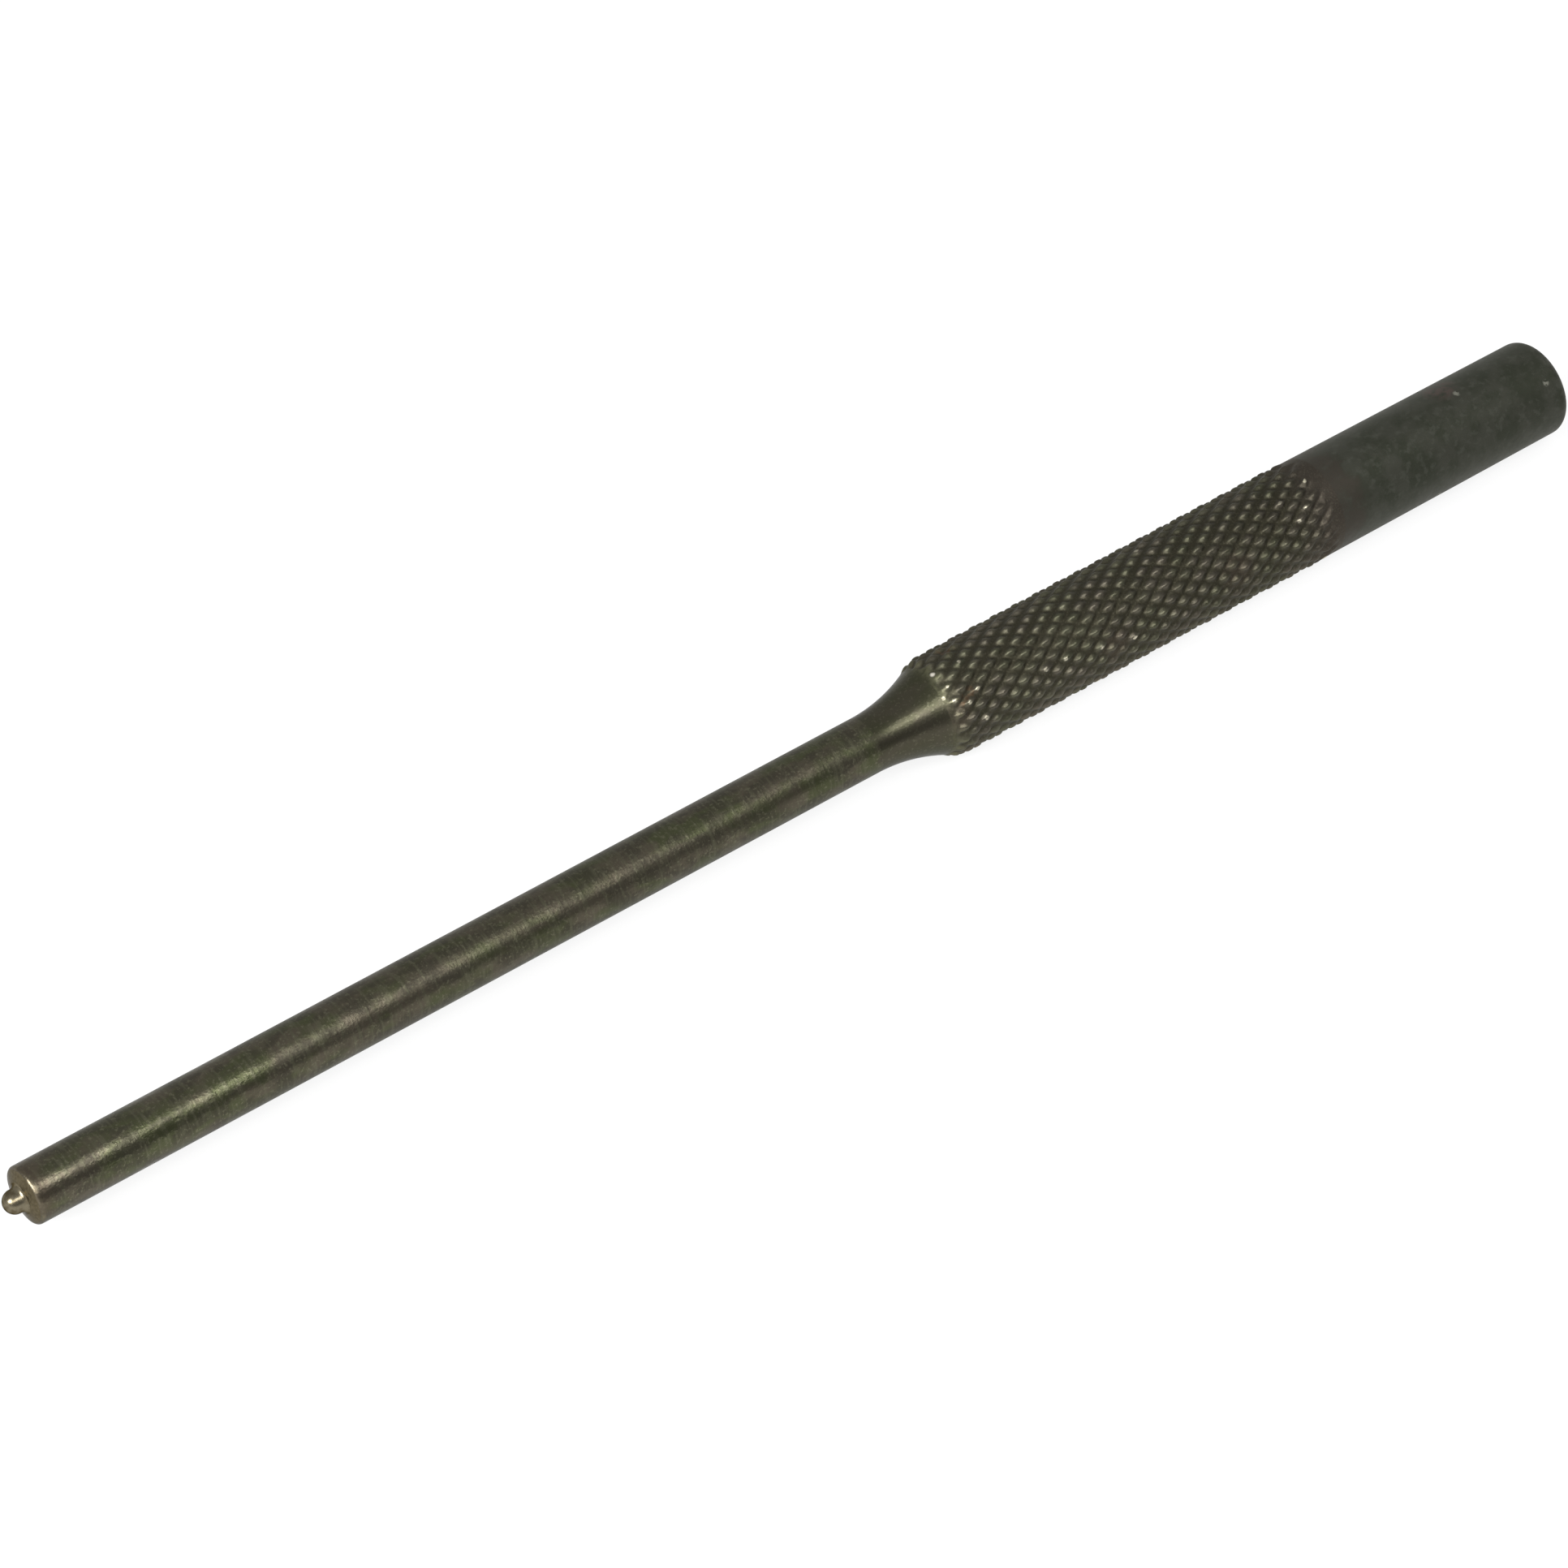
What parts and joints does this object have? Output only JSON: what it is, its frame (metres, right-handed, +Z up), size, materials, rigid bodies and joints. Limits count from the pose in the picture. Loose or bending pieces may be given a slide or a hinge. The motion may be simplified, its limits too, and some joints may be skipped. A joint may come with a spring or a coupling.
{
  "type": "pin punch",
  "caption": "Roll pin punch: slim straight shank with a small round nub at its working face, a hollow-curved shoulder, a diamond-knurled grip and a plain striking head.",
  "frame": {"origin": "on the bar's axis, where the straight shank ends and the shoulder starts to rise", "axes": "+X along the bar's axis from the nub to the striking face, +Z up when the punch lies as in the picture; the bar is the same all round"},
  "size_m": [0.1143, 0.0064, 0.0064],
  "materials": {
    "bare_steel": "bare, worn bright",
    "oxide_shank": "brown-black oxide over fine ground steel, satin",
    "oxide_knurl": "black oxide over a rolled knurl, rubbed on the diamonds",
    "oxide_head": "black oxide, matt"
  },
  "bodies": {
    "root": {"tip_nub": "bare_steel", "shank": "oxide_shank", "shoulder": "oxide_shank", "knurled_grip": "oxide_knurl", "striking_head": "oxide_head"}
  },
  "joints": []
}
